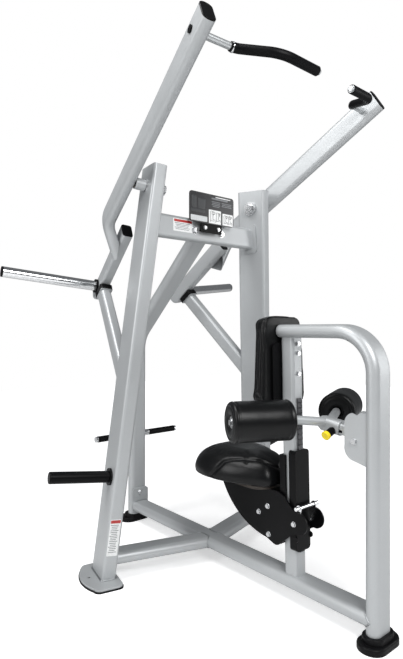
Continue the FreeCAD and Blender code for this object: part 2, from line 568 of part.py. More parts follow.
def side_plate_outline(x):
    """Crescent outline of a seat side plate."""
    def at(y, z):
        return Vector(x, y, z)
    edges = [Part.Arc(at(716, 420), at(628, 300), at(452, 228)),
             Part.LineSegment(at(452, 228), at(418, 216)),
             Part.Arc(at(418, 216), at(398, 214), at(380, 226)),
             Part.LineSegment(at(380, 226), at(336, 264)),
             Part.LineSegment(at(336, 264), at(300, 286)),
             Part.Arc(at(300, 286), at(254, 331), at(286, 364)),
             Part.LineSegment(at(286, 364), at(318, 368)),
             Part.LineSegment(at(318, 368), at(345, 392)),
             Part.Arc(at(345, 392), at(372, 413), at(410, 420)),
             Part.LineSegment(at(410, 420), at(716, 420))]
    return Part.Wire([edge.toShape() for edge in edges])


def cushion_ring(z, scale):
    """Saddle-shaped outline of the seat cushion at height z, shrunk towards its middle."""
    front, middle, rear, nose, widest = 408.0, 640.0, 838.0, 95.0, 168.0
    half = [(nose * 0.72, front + 8), (nose + 12, front + 62), (widest - 8, 600), (widest, 700),
            (widest * 0.78, 800), (widest * 0.3, rear - 4)]
    ring = [(0, front)] + half + [(-x, y) for x, y in reversed(half)]
    outline = Part.BSplineCurve()
    outline.interpolate([Vector(x * scale, middle + (y - middle) * scale, z) for x, y in ring],
                        PeriodicFlag=True)
    return Part.Wire([outline.toShape()])


def seat_parts():
    """Side plates, board, cushion, bolts and lever of the seat."""
    holes = [rod(Vector(-80, y, z), Vector(80, y, z), 5) for y, z in CROSS_BOLTS + [LEVER_PIVOT]]
    rear_rod = (694.0, 402.0)
    holes.append(rod(Vector(-80, *rear_rod), Vector(80, *rear_rod), 6))
    plate = slab(side_plate_outline(-SIDE_IN), X_AXIS * -SIDE_THICK).cut(Part.makeCompound(holes))
    export("seat_side_plates", both(plate))
    face = SIDE_IN + SIDE_THICK
    bolts = []
    for y, z in CROSS_BOLTS:
        heads = hex_bolt(Vector(-face, y, z), X_AXIS * -1.0, 15, 6, 10, face, 5)
        bolts += [heads.fuse(mirrored(heads)).removeSplitter()]
    pivot = hex_bolt(Vector(-face, *LEVER_PIVOT), X_AXIS * -1.0, 15, 6, 10, face - CARRIAGE_X, 5)
    bolts += [pivot, mirrored(pivot), rod(Vector(-face - 8, *rear_rod), Vector(face + 8, *rear_rod), 6)]
    export("carriage_bolts", Part.makeCompound(bolts))
    rod_bar = rod(Vector(-62, *LEVER_ROD), Vector(66, *LEVER_ROD), 7)
    link_low, link_high = Vector(-45, *LEVER_PIVOT), Vector(-45, *LEVER_ROD)
    run = unit(link_high - link_low)
    link = slab(section((link_low + link_high) * 0.5, run, run.cross(X_AXIS),
                        link_low.distanceToPoint(link_high) + 22, 22, 11), X_AXIS * 4)
    link = link.cut(rod(Vector(-80, *LEVER_PIVOT), Vector(80, *LEVER_PIVOT), 5.05))
    export("seat_lever", rod_bar.fuse([link, mirrored(link)]).removeSplitter())
    board = slab(section(Vector(0, 610, 420), X_AXIS, Y_AXIS, 210, 350, 60), Z_AXIS * 12)
    export("seat_board", board)
    levels = [(432.0, 0.95), (446.0, 1.0), (470.0, 0.99), (500.0, 0.92), (525.0, 0.80), (545.0, 0.55)]
    cushion = Part.makeLoft([cushion_ring(z, scale) for z, scale in levels], True, False)
    export("seat_cushion", cushion)


# ---------------------------------------------------------------- knee rollers
STEM = unit(STEM_END - STEM_START)
PIN_DIR = unit(Vector(-0.93, 0, -0.365) - STEM * Vector(-0.93, 0, -0.365).dot(STEM))
PIN_ROOT = STEM_START + STEM * 36.0


def knee_bracket(post_outer):
    """Two plates on the front post and the fixed bar between them."""
    y0, y1, low, high = OVAL_DEEP / 2 - 6, 104.0, 587.0, 763.0

    def at(y, z):
        return Vector(-38, y, z)
    edges = [Part.LineSegment(at(y0, low), at(y0, high)),
             Part.LineSegment(at(y0, high), at(40, high)),
             Part.LineSegment(at(40, high), at(56, high - 10)),
             Part.LineSegment(at(56, high - 10), at(76, high - 4)),
             Part.Arc(at(76, high - 4), at(96, high - 18), at(y1, high - 44)),
             Part.LineSegment(at(y1, high - 44), at(y1, 648)),
             Part.Arc(at(y1, 648), at(97, 616), at(74, 600)),
             Part.LineSegment(at(74, 600), at(38, 592)),
             Part.LineSegment(at(38, 592), at(y0, low))]
    plate = slab(Part.Wire([edge.toShape() for edge in edges]), X_AXIS * 6)
    pin = rod(Vector(-60, *KNEE_BOLT), Vector(60, *KNEE_BOLT), 6)
    plate = plate.cut(pin).cut(post_outer)
    spacer = pipe(Vector(-32, *KNEE_BOLT), Vector(32, *KNEE_BOLT), 9, 6)
    bar_start, bar_end = STEM_START - STEM * 115.0, STEM_START + STEM * BAR_LONG
    bar, outer = tube([bar_start, bar_end], [], X_AXIS, BAR_SIDE, BAR_SIDE, 8.0, WALL, (False, True))
    bar = bar.cut(post_outer).cut(spacer).cut(rod(Vector(-60, *KNEE_BOLT), Vector(60, *KNEE_BOLT), 9))
    slot_end = PIN_ROOT - STEM * (KNEE_TRAVEL + 1.0)
    slot = slab(section((PIN_ROOT + slot_end) * 0.5, STEM, PIN_DIR.cross(STEM),
                        KNEE_TRAVEL + 11.6, 10.6, 5.3), PIN_DIR * 40)
    bar = sorted(bar.cut(slot).Solids, key=lambda s: s.Volume)[-1]
    export("knee_bracket", Part.makeCompound([plate, mirrored(plate), spacer]))
    export("knee_bar", bar)


def knee_fork():
    """Sliding sleeve with two splayed tubes and the roller axles."""
    start, end = STEM_START + STEM * SLEEVE_START, STEM_START + STEM * SLEEVE_END
    bore = BAR_SIDE + 2 * STEM_CLEAR
    sleeve = swept([start, end], [], X_AXIS, STEM_SIDE, STEM_SIDE, 18.0)
    cavity = swept([start - STEM, STEM_START + STEM * CAVITY_END], [], X_AXIS, bore, bore, 8.0)
    fork = sleeve
    outer_dir = unit(ROLLER_OUTER - ROLLER_INNER)
    for side in (1, -1):
        def flip(v):
            return Vector(side * v.x, v.y, v.z)
        into = flip(ROLLER_INNER - outer_dir * 4)
        fork = fork.fuse(rod(FORK_ROOT, into, FORK_R))
        fork = fork.fuse(rod(into, flip(ROLLER_OUTER - outer_dir * 8.5), AXLE_R))
    barrel_hole = rod(PIN_ROOT, PIN_ROOT + PIN_DIR * 60, 11)
    fork = fork.fuse(Part.makeSphere(STEM_SIDE / 2, end)).cut(cavity).cut(barrel_hole)
    export("knee_fork", fork.removeSplitter())
    rollers, bolts = {}, []
    for side, name in ((1, "roller_left"), (-1, "roller_right")):
        def flip(v):
            return Vector(side * v.x, v.y, v.z)
        inner, outer = flip(ROLLER_INNER), flip(ROLLER_OUTER)
        way = unit(outer - inner)
        body = rod(inner, outer, ROLLER_R)
        body = softened(body, 14.0, lambda e: e.Length > 100 and e.Closed)
        body = body.cut(rod(inner - way, outer + way, AXLE_R + RUNNING))
        body = body.cut(rod(inner - way, inner + way * 12, FORK_R + 3))
        body = body.cut(rod(outer - way * 9, outer + way, 24))
        export(name, body)
        bolts.append(hex_bolt(outer - way * 8.5, way, 19, 7, 20))
    export("roller_bolts", Part.makeCompound(bolts))
    face = STEM_SIDE / 2 - 1
    barrel = rod(PIN_ROOT + PIN_DIR * (BAR_SIDE / 2 + 4.6), PIN_ROOT + PIN_DIR * (face + 6), 11)
    barrel = barrel.fuse(rod(PIN_ROOT + PIN_DIR * (face + 6), PIN_ROOT + PIN_DIR * (face + 32), 14))
    barrel = barrel.cut(rod(PIN_ROOT, PIN_ROOT + PIN_DIR * 80, 5.05)).cut(sleeve.cut(barrel_hole))
    export("pin_barrel", barrel.removeSplitter())
    knob_at = PIN_ROOT + PIN_DIR * (face + 33)
    knob = rod(knob_at, knob_at + PIN_DIR * 14, 16)
    knob = softened(knob, 3.0, lambda e: e.Length > 50)
    plunger = rod(PIN_ROOT + PIN_DIR * 13.0, knob_at, 5)
    export("pin_knob", knob.fuse(plunger).removeSplitter())


def frame_bolts():
    """Hexagon bolts that hold the bolted frame joints."""
    bolts = []
    beam_front = BEAM_Y - BEAM_DEEP / 2
    for x in (-80, 80):
        bolts.append(hex_bolt(Vector(x, beam_front, BEAM_Z - 4), Y_AXIS * -1.0, 22, 9, 17))
    for x in (-40, 40):
        bolts.append(hex_bolt(Vector(x, 837, 1500), Y_AXIS * -1.0, 13, 5, 9))
    bolts.append(hex_bolt(Vector(0, SPINE_Y - OVAL_DEEP / 2 - BRACKET_THICK, 155), Y_AXIS * -1.0, 19, 8, 14))
    for up in (762, 840, 876):
        seat = SEAT.multVec(Vector(0, -POST_SIDE / 2, up))
        bolts.append(hex_bolt(seat, POST_UP.cross(X_AXIS) * -1.0, 15, 6, 10))
    for side in (-1, 1):
        bolts.append(hex_bolt(Vector(side * 38, *KNEE_BOLT), X_AXIS * side, 17, 7, 11))
    bolts.append(rod(Vector(-38, *KNEE_BOLT), Vector(38, *KNEE_BOLT), 6))
    export("frame_bolts", Part.makeCompound(bolts))


def build():
    os.makedirs("parts", exist_ok=True)
    arch_outer, spine, spine_outer = frame_posts()
    rail_outer = main_rail(arch_outer)
    beam_outer = crossbeam()
    spine_cut = sorted(spine.cut(beam_outer).Solids, key=lambda s: s.Volume)[-1]
    export("rear_spine", spine_cut)
    upright_left, upright_outer = upright()
    export("upright_left", upright_left)
    export("upright_right", mirrored(upright_left))
    feet()
    rail_left = side_rail(rail_outer, upright_outer)
    export("side_rail_left", rail_left)
    export("side_rail_right", mirrored(rail_left))
    stay_left, bumper = stay(upright_outer)
    stay_left = sorted(stay_left.Solids, key=lambda s: s.Volume)[-1]
    export("stay_left", stay_left)
    export("stay_right", mirrored(stay_left))
    export("bumpers", both(bumper))
    export("storage_pegs", both(storage_peg()))
    rear_pegs(spine_outer)
    placard()
    export("pivot_shafts", both(pivot_shaft()))
    for name, shape in arm_parts().items():
        left = place(shape, WING)
        export(name + "_left", left)
        export(name + "_right", mirrored(left))
    seat_column(arch_outer, rail_outer)
    seat_carriage()
    seat_parts()
    knee_bracket(arch_outer)
    knee_fork()
    frame_bolts()


build()
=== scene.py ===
import json
import math

import bmesh
import bpy
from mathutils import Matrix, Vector, noise
from mathutils.bvhtree import BVHTree
from mathutils.geometry import intersect_point_line


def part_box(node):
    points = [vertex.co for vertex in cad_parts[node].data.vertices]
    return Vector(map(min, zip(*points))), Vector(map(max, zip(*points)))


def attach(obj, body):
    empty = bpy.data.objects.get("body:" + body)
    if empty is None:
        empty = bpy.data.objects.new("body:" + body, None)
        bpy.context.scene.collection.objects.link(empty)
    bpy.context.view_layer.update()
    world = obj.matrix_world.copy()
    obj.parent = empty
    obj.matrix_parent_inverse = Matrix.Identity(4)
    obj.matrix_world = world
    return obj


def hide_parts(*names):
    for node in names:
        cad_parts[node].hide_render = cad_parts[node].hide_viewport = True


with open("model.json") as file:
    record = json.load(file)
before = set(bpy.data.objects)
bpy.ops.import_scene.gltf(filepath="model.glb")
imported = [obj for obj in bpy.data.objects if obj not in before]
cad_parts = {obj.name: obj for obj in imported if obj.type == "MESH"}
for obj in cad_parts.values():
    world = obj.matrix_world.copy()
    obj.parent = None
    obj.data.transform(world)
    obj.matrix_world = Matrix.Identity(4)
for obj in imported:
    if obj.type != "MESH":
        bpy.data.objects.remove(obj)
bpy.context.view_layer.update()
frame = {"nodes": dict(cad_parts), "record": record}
nodes = frame["nodes"]

# ---------------------------------------------------------------- places
# Lengths here are millimetres from the foot of the front post, which stands at Y = -744.
POST_Y = -744.0
TOE, TILT, LEAN = math.radians(12.0), math.radians(6.4), 0.0563
PIVOT = Vector((-247.0, 856.0, 1634.0))
WING_A = Vector((-math.cos(TOE) * math.cos(TILT), math.sin(TOE) * math.cos(TILT), math.sin(TILT)))
WING_F = Vector((-math.sin(TOE), -math.cos(TOE), 0.0))
WING_N = WING_A.cross(WING_F)
SEAT_FOOT = Vector((0.0, 349.0, 110.0))
SEAT_UP = (Vector((0.0, 369.0, 1010.0)) - SEAT_FOOT).normalized()
SEAT_BACK = SEAT_UP.cross(Vector((1.0, 0.0, 0.0)))
X, Y, Z = Vector((1, 0, 0)), Vector((0, 1, 0)), Vector((0, 0, 1))
TUBE_HALF, RAIL_Z = 25.0, 85.0
SIDE_RAIL_START, SIDE_RAIL_END = (0.0, 845.0), (478.0, 988.0)
SPINE_Y, SPINE_PLATE = 1465.0, 10.0
ARM_TOP, ARM_BEND, HANDLE_BACK = (594.7, 391.2), (-259.0, -121.0), 69.0
ARM_FACE, GRIP_EDGE = 139.0, 34.0
FOOT_START, FOOT_TOP = -1600.0, 0.0155   # a first guess down the upright; the plate's top in metres
BEAM_FRONT = 887.0 - 25.0
PLACARD_FRONT = (0.0, 833.0, 1587.5)
PAD_BACK, PAD_MIDDLE = 30.0 + 8.5, 812.0
AXLE_INNER, AXLE_OUTER = (136.0, 260.0, 723.0), (338.0, 357.0, 723.0)
BODY_SEAT, BODY_FRAME, BODY_KNEE = "seat", "frame", "knee_carrier"


def at(x, y, z):
    """Millimetres from the foot of the front post to the scene's metres."""
    return Vector((x, y + POST_Y, z)) / 1000.0


def wing(a, f, n, side=1):
    """A point of the left arm's own frame, or of the right arm's with side -1."""
    p = PIVOT + WING_A * a + WING_F * f + WING_N * n
    return at(p.x * side, p.y, p.z)


def wing_way(a, f, n, side=1):
    """A direction of the arm's own frame."""
    d = WING_A * a + WING_F * f + WING_N * n
    return Vector((d.x * side, d.y, d.z)).normalized()


def seat_at(x, r, w):
    """A point of the leaning seat post's frame: across, back, up."""
    p = SEAT_FOOT + X * x + SEAT_BACK * r + SEAT_UP * w
    return at(p.x, p.y, p.z)


# ---------------------------------------------------------------- materials
def shader(name, colour, rough, metal=0.0, **sockets):
    """New material with its Principled shader's plain values set."""
    material = bpy.data.materials.new(name)
    material.use_nodes = True
    bsdf = material.node_tree.nodes["Principled BSDF"]
    bsdf.inputs["Base Color"].default_value = (*colour, 1.0)
    bsdf.inputs["Roughness"].default_value = rough
    bsdf.inputs["Metallic"].default_value = metal
    for socket, value in sockets.items():
        bsdf.inputs[socket.replace("_", " ")].default_value = value
    return material, material.node_tree, bsdf


def texture(tree, kind, scale, stretch=(1.0, 1.0, 1.0), **values):
    """Texture node on object coordinates."""
    coords = tree.nodes.new("ShaderNodeTexCoord")
    mapping = tree.nodes.new("ShaderNodeMapping")
    mapping.inputs["Scale"].default_value = stretch
    node = tree.nodes.new(kind)
    tree.links.new(coords.outputs["Object"], mapping.inputs["Vector"])
    tree.links.new(mapping.outputs["Vector"], node.inputs["Vector"])
    if "Scale" in node.inputs:
        node.inputs["Scale"].default_value = scale
    for key, value in values.items():
        if key in node.inputs:
            node.inputs[key].default_value = value
        else:
            setattr(node, key, value)
    return node


def ramp(tree, source, stops):
    """Colour ramp over a texture's output."""
    node = tree.nodes.new("ShaderNodeValToRGB")
    while len(node.color_ramp.elements) < len(stops):
        node.color_ramp.elements.new(0.5)
    for element, (place, colour) in zip(node.color_ramp.elements, stops):
        element.position = place
        element.color = (*colour, 1.0)
    tree.links.new(source, node.inputs["Fac"])
    return node.outputs["Color"]


def spread(tree, source, low, high):
    """Texture value spread between two limits."""
    node = tree.nodes.new("ShaderNodeMapRange")
    node.inputs["To Min"].default_value = low
    node.inputs["To Max"].default_value = high
    tree.links.new(source, node.inputs["Value"])
    return node.outputs["Result"]


def bump(tree, bsdf, layers):
    """Chain of bump layers: (height output, strength, distance in metres)."""
    before = None
    for source, strength, distance in layers:
        node = tree.nodes.new("ShaderNodeBump")
        node.inputs["Strength"].default_value = strength
        node.inputs["Distance"].default_value = distance
        tree.links.new(source, node.inputs["Height"])
        if before:
            tree.links.new(before, node.inputs["Normal"])
        before = node.outputs["Normal"]
    tree.links.new(before, bsdf.inputs["Normal"])


def shades(colour, *factors):
    """The colour made darker or lighter by each factor."""
    return [tuple(min(c * f, 1.0) for c in colour) for f in factors]


def powder_coat(name, colour, rough, metal, flake, specular=0.5):
    """Sprayed powder coat: fine flake, slow drift in tone, and orange peel."""
    material, tree, bsdf = shader(name, colour, rough, metal, Specular_IOR_Level=specular)
    flakes = texture(tree, "ShaderNodeTexVoronoi", 700.0)
    drift = texture(tree, "ShaderNodeTexNoise", 3.5, Detail=4.0)
    mix = tree.nodes.new("ShaderNodeMix")
    mix.data_type = "RGBA"
    mix.blend_type = "MULTIPLY"
    mix.inputs["Factor"].default_value = 1.0
    separate = tree.nodes.new("ShaderNodeSeparateColor")
    tree.links.new(flakes.outputs["Color"], separate.inputs["Color"])
    low, high = shades(colour, 1.0 - flake, 1.0 + flake)
    tree.links.new(ramp(tree, separate.outputs["Red"], [(0.1, low), (0.9, high)]), mix.inputs["A"])
    tree.links.new(ramp(tree, drift.outputs["Fac"], [(0.3, (0.94,) * 3), (0.7, (1.0,) * 3)]),
                   mix.inputs["B"])
    tree.links.new(mix.outputs["Result"], bsdf.inputs["Base Color"])
    wear = texture(tree, "ShaderNodeTexNoise", 14.0, Detail=6.0)
    tree.links.new(spread(tree, wear.outputs["Fac"], rough - 0.06, rough + 0.08),
                   bsdf.inputs["Roughness"])
    peel = texture(tree, "ShaderNodeTexNoise", 180.0, Detail=1.0)
    bump(tree, bsdf, [(peel.outputs["Fac"], 0.06, 0.0001)])
    return material


def moulded(name, colour, rough, grain, depth, **sockets):
    """Moulded plastic or rubber with a fine grained surface."""
    material, tree, bsdf = shader(name, colour, rough, **{"Specular_IOR_Level": 0.12, **sockets})
    tone = texture(tree, "ShaderNodeTexNoise", 9.0, Detail=5.0)
    low, high = shades(colour, 0.8, 1.35)
    tree.links.new(ramp(tree, tone.outputs["Fac"], [(0.3, low), (0.7, high)]),
                   bsdf.inputs["Base Color"])
    handled = texture(tree, "ShaderNodeTexNoise", 30.0, Detail=5.0)
    tree.links.new(spread(tree, handled.outputs["Fac"], rough - 0.07, rough + 0.09),
                   bsdf.inputs["Roughness"])
    pores = texture(tree, "ShaderNodeTexNoise", grain, Detail=3.0)
    bump(tree, bsdf, [(pores.outputs["Fac"], 0.35, depth)])
    return material


def upholstery(name, colour, rough):
    """Calendered vinyl: leather-like grain cells, pull wrinkles and patches worn smoother."""
    material, tree, bsdf = shader(name, colour, rough, Specular_IOR_Level=0.26)
    tone = texture(tree, "ShaderNodeTexNoise", 11.0, Detail=6.0)
    low, high = shades(colour, 0.75, 1.5)
    tree.links.new(ramp(tree, tone.outputs["Fac"], [(0.32, low), (0.72, high)]),
                   bsdf.inputs["Base Color"])
    tree.links.new(spread(tree, tone.outputs["Fac"], rough + 0.08, rough - 0.08),
                   bsdf.inputs["Roughness"])
    cells = texture(tree, "ShaderNodeTexVoronoi", 520.0, feature="DISTANCE_TO_EDGE")
    creases = texture(tree, "ShaderNodeTexNoise", 60.0, Detail=8.0)
    pulls = texture(tree, "ShaderNodeTexNoise", 16.0, (1.0, 0.45, 1.0), Detail=3.0)
    bump(tree, bsdf, [(pulls.outputs["Fac"], 0.25, 0.004), (creases.outputs["Fac"], 0.2, 0.0008),
                      (spread(tree, cells.outputs["Distance"], 0.0, 1.0), 0.35, 0.0004)])
    return material


def metal(name, colour, rough, scratch_stretch, depth):
    """Plated or turned steel with fine directional marks."""
    material, tree, bsdf = shader(name, colour, rough, 1.0)
    marks = texture(tree, "ShaderNodeTexNoise", 90.0, scratch_stretch, Detail=2.0)
    low, high = shades(colour, 0.93, 1.04)
    tree.links.new(ramp(tree, marks.outputs["Fac"], [(0.35, low), (0.65, high)]),
                   bsdf.inputs["Base Color"])
    smudge = texture(tree, "ShaderNodeTexNoise", 22.0, Detail=5.0)
    tree.links.new(spread(tree, smudge.outputs["Fac"], rough * 0.7, rough * 1.5),
                   bsdf.inputs["Roughness"])
    bump(tree, bsdf, [(marks.outputs["Fac"], 0.02, depth)])
    return material


def printed(name, colour, rough=0.34):
    """Printed laminate: ink with a faint mottle under a satin film."""
    material, tree, bsdf = shader(name, colour, rough, Coat_Weight=0.25, Coat_Roughness=0.2)
    mottle = texture(tree, "ShaderNodeTexNoise", 240.0, Detail=4.0)
    low, high = shades(colour, 0.9, 1.08)
    tree.links.new(ramp(tree, mottle.outputs["Fac"], [(0.3, low), (0.7, high)]),
                   bsdf.inputs["Base Color"])
    film = texture(tree, "ShaderNodeTexNoise", 35.0, Detail=2.0)
    bump(tree, bsdf, [(film.outputs["Fac"], 0.08, 0.0004)])
    return material


def stained_ply(name):
    """Black-stained plywood edge and face."""
    material, tree, bsdf = shader(name, (0.03, 0.024, 0.02), 0.6)
    plies = texture(tree, "ShaderNodeTexNoise", 30.0, (0.6, 1.0, 24.0), Detail=6.0)
    tree.links.new(ramp(tree, plies.outputs["Fac"], [(0.35, (0.012, 0.01, 0.009)),
                                                     (0.7, (0.055, 0.042, 0.032))]),
                   bsdf.inputs["Base Color"])
    bump(tree, bsdf, [(plies.outputs["Fac"], 0.2, 0.0004)])
    return material


SILVER = (0.50, 0.517, 0.527)
paint = powder_coat("frame_paint", SILVER, 0.42, 0.40, 0.02)
handle_steel = powder_coat("handle_steel", (0.60, 0.62, 0.63), 0.30, 0.75, 0.02)
black_paint = powder_coat("black_steel", (0.0025, 0.0025, 0.003), 0.34, 0.0, 0.25, 0.14)
chrome = metal("chrome", (0.86, 0.87, 0.88), 0.10, (1.0, 1.0, 1.0), 0.00002)
zinc = metal("zinc", (0.70, 0.71, 0.72), 0.24, (1.0, 6.0, 1.0), 0.00005)
rack_steel = metal("rack_steel", (0.085, 0.085, 0.09), 0.42, (8.0, 1.0, 1.0), 0.0004)
bronze = metal("bronze", (0.50, 0.34, 0.16), 0.35, (1.0, 8.0, 8.0), 0.0002)
weld_steel = metal("weld_bead", (0.44, 0.455, 0.465), 0.36, (4.0, 4.0, 4.0), 0.0004)
plastic = moulded("black_plastic", (0.002, 0.002, 0.0023), 0.36, 700.0, 0.0002)
rubber = moulded("boot_rubber", (0.0045, 0.0045, 0.005), 0.42, 420.0, 0.0004)
grip = moulded("grip_rubber", (0.0025, 0.0025, 0.003), 0.44, 900.0, 0.0003)
yellow = moulded("yellow_knob", (0.92, 0.62, 0.02), 0.28, 500.0, 0.0001, Coat_Weight=0.4)
vinyl = upholstery("vinyl", (0.0025, 0.0027, 0.003), 0.34)
thread = moulded("thread", (0.02, 0.02, 0.022), 0.65, 2500.0, 0.0002)
ply = stained_ply("seat_board")
ink_black = printed("ink_charcoal", (0.012, 0.012, 0.014))
ink_grey = printed("ink_grey", (0.20, 0.21, 0.22))
ink_dim = printed("ink_dim", (0.038, 0.04, 0.043))
ink_pale = printed("ink_pale", (0.62, 0.64, 0.65))
ink_white = printed("ink_white", (0.86, 0.87, 0.87))
ink_red = printed("ink_red", (0.48, 0.035, 0.03))

FINISH = {"frame_paint": paint, "handle_steel": handle_steel, "chrome": chrome,
          "black_plastic": plastic, "boot_rubber": rubber, "grip_rubber": grip,
          "black_steel": black_paint, "rack_steel": rack_steel, "vinyl": vinyl,
          "seat_board": ply, "placard_face": ink_black, "zinc": zinc, "bronze": bronze,
          "yellow_knob": yellow}
for part in frame["record"]["subparts"]:
    obj = nodes[part["node"]]
    for slot in obj.material_slots:
        slot.material = FINISH[part["material_slot"]]


# ---------------------------------------------------------------- mesh helpers
def piece(name, verts, faces, material, body, smooth=True):
    """New mesh object riding on a body."""
    mesh = bpy.data.meshes.new(name)
    mesh.from_pydata([tuple(v) for v in verts], [], faces)
    mesh.validate()
    mesh.update()
    for polygon in mesh.polygons:
        polygon.use_smooth = smooth
    obj = bpy.data.objects.new(name, mesh)
    bpy.context.collection.objects.link(obj)
    obj.data.materials.append(material)
    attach(obj, body)
    return obj


def bridge(rings, size, closed, caps=True):
    """Faces between successive rings of the same size."""
    faces, count = [], len(rings)
    for k in range(count if closed else count - 1):
        a, b = k * size, ((k + 1) % count) * size
        for i in range(size):
            j = (i + 1) % size
            faces.append((a + i, a + j, b + j, b + i))
    if caps and not closed:
        faces.append(tuple(range(size - 1, -1, -1)))
        faces.append(tuple(range((count - 1) * size, count * size)))
    return faces


def tube(points, radius, sides=10, closed=False):
    """Rings of a round bar along points; radius is a number or a function of the index."""
    rings, count = [], len(points)
    side = None
    for k, p in enumerate(points):
        before = points[k - 1] if k or closed else p
        after = points[(k + 1) % count] if k < count - 1 or closed else p
        along = (after - before).normalized()
        if side is None:
            side = along.orthogonal().normalized()
        side = (side - along * side.dot(along)).normalized()
        up = along.cross(side)
        r = radius(k) if callable(radius) else radius
        rings.append([p + side * (r * math.cos(t)) + up * (r * math.sin(t))
                      for t in (2 * math.pi * i / sides for i in range(sides))])
    return [v for ring in rings for v in ring], bridge(rings, sides, closed)


def many(name, shapes, material, body):
    """One object from several vertex and face lists."""
    verts, faces = [], []
    for v, f in shapes:
        base = len(verts)
        verts += v
        faces += [tuple(i + base for i in face) for face in f]
    return piece(name, verts, faces, material, body)


def revolve(profile, origin, axis, sides, wobble=None):
    """Closed band of a profile [(along, radius)] turned round an axis."""
    side = axis.orthogonal().normalized()
    up = axis.cross(side)
    rings = []
    for i in range(sides):
        t = 2 * math.pi * i / sides
        out = side * math.cos(t) + up * math.sin(t)
        rings.append([origin + axis * s + out * (r + (wobble(s, t) if wobble else 0.0))
                      for s, r in profile])
    return [v for ring in rings for v in ring], bridge(rings, len(profile), True)


def plate(centre, u, v, wide, tall, thick, corner, steps=6):
    """Thin rounded rectangle with softened rims, its back on centre and facing u x v."""
    out = u.cross(v)
    rings = []
    rim = min(thick * 0.45, corner * 0.4)
    for inset, height in ((0.0, 0.0), (0.0, thick - rim), (rim, thick), (corner * 0.9, thick)):
        ring = []
        for su, sv, start in ((1, 1, 0), (-1, 1, 90), (-1, -1, 180), (1, -1, 270)):
            for k in range(steps + 1):
                t = math.radians(start + 90.0 * k / steps)
                r = max(corner - inset, corner * 0.08)
                ring.append(centre + u * (su * (wide / 2 - corner) + r * math.cos(t))
                            + v * (sv * (tall / 2 - corner) + r * math.sin(t)) + out * height)
        rings.append(ring)
    size = len(rings[0])
    return [p for ring in rings for p in ring], bridge(rings, size, False)


def bead(path, radius, closed=True):
    """Weld bead: a low tube with the ripples of its passes."""
    length = sum((b - a).length for a, b in zip(path, path[1:] + path[:1 if closed else 0]))
    count = max(int(length / 0.0016), 12)
    fine = resample(path, count, closed)
    return tube(fine, lambda k: radius * (1.0 + 0.16 * math.sin(k * 2.1)
                                          + 0.08 * noise.noise(fine[k] * 160.0)), 8, closed)


def resample(path, count, closed):
    """Evenly spaced points along a polyline."""
    line = list(path) + ([path[0]] if closed else [])
    marks = [0.0]
    for a, b in zip(line, line[1:]):
        marks.append(marks[-1] + (b - a).length)
    total, result, seg = marks[-1], [], 0
    for k in range(count):
        s = total * k / (count if closed else count - 1)
        while seg < len(line) - 2 and marks[seg + 1] < s:
            seg += 1
        span = max(marks[seg + 1] - marks[seg], 1e-9)
        result.append(line[seg].lerp(line[seg + 1], min((s - marks[seg]) / span, 1.0)))
    return result


def oval(t, wide=100.0, deep=50.0):
    """Point of the flat-oval tube section at turn t from 0 to 1."""
    r, flat = deep / 2, wide - deep
    around = 2 * flat + 2 * math.pi * r
    s = (t % 1.0) * around
    if s < flat:
        return flat / 2 - s, r
    s -= flat
    if s < math.pi * r:
        a = math.pi / 2 + s / r
        return -flat / 2 + r * math.cos(a), r * math.sin(a)
    s -= math.pi * r
    if s < flat:
        return -flat / 2 + s, -r
    a = -math.pi / 2 + (s - flat) / r
    return flat / 2 + r * math.cos(a), r * math.sin(a)


def oval_reach(u, wide=100.0, deep=50.0):
    """Half depth of the flat-oval tube at lateral offset u."""
    over = max(abs(u) - (wide - deep) / 2, 0.0)
    return math.sqrt(max((deep / 2) ** 2 - over ** 2, 0.0))


# ---------------------------------------------------------------- upholstery
VOXEL, PRESSURE, CLOTH_STEPS = 0.006, 4.0, 20


def padded_copy(node, name, body, cap, shrink, pinned):
    """Foam-filled cover grown from a CAD pad: remeshed, blown up as cloth, movement capped."""
    source = nodes[node]
    mesh = source.data.copy()
    mesh.materials.clear()
    obj = bpy.data.objects.new(name, mesh)
    bpy.context.collection.objects.link(obj)
    work = bmesh.new()
    work.from_mesh(mesh)
    bmesh.ops.remove_doubles(work, verts=work.verts, dist=1e-5)
    work.to_mesh(mesh)
    work.free()
    remesh = obj.modifiers.new("remesh", "REMESH")
    remesh.mode = "VOXEL"
    remesh.voxel_size = VOXEL
    bake(obj)
    mesh = obj.data
    for _ in range(3):
        smooth_once(mesh, 0.4)
    for vertex, normal in [(v, v.normal.copy()) for v in mesh.vertices]:
        if not pinned(vertex.co):
            vertex.co -= normal * shrink
    rest = [v.co.copy() for v in mesh.vertices]
    hold = obj.vertex_groups.new(name="hold")
    hold.add([v.index for v in mesh.vertices if pinned(v.co)], 1.0, "REPLACE")
    cloth = obj.modifiers.new("cloth", "CLOTH")
    cloth.settings.use_pressure = True
    cloth.settings.uniform_pressure_force = PRESSURE
    cloth.settings.quality = 4
    cloth.settings.mass = 0.4
    cloth.settings.effector_weights.gravity = 0.0
    cloth.settings.vertex_group_mass = "hold"
    cloth.collision_settings.use_collision = False
    for step in range(1, CLOTH_STEPS + 1):
        bpy.context.scene.frame_set(step)
    bake(obj)
    bpy.context.scene.frame_set(1)
    obj.vertex_groups.clear()
    for vertex, start in zip(obj.data.vertices, rest):
        moved = vertex.co - start
        if moved.length > cap:
            vertex.co = start + moved * (cap / moved.length)
    for polygon in obj.data.polygons:
        polygon.use_smooth = True
    obj.data.materials.append(vinyl)
    return obj


def bake(obj):
    """Replace an object's mesh by its evaluated one and drop its modifiers."""
    graph = bpy.context.evaluated_depsgraph_get()
    solid = bpy.data.meshes.new_from_object(obj.evaluated_get(graph), depsgraph=graph)
    obj.modifiers.clear()
    obj.data = solid


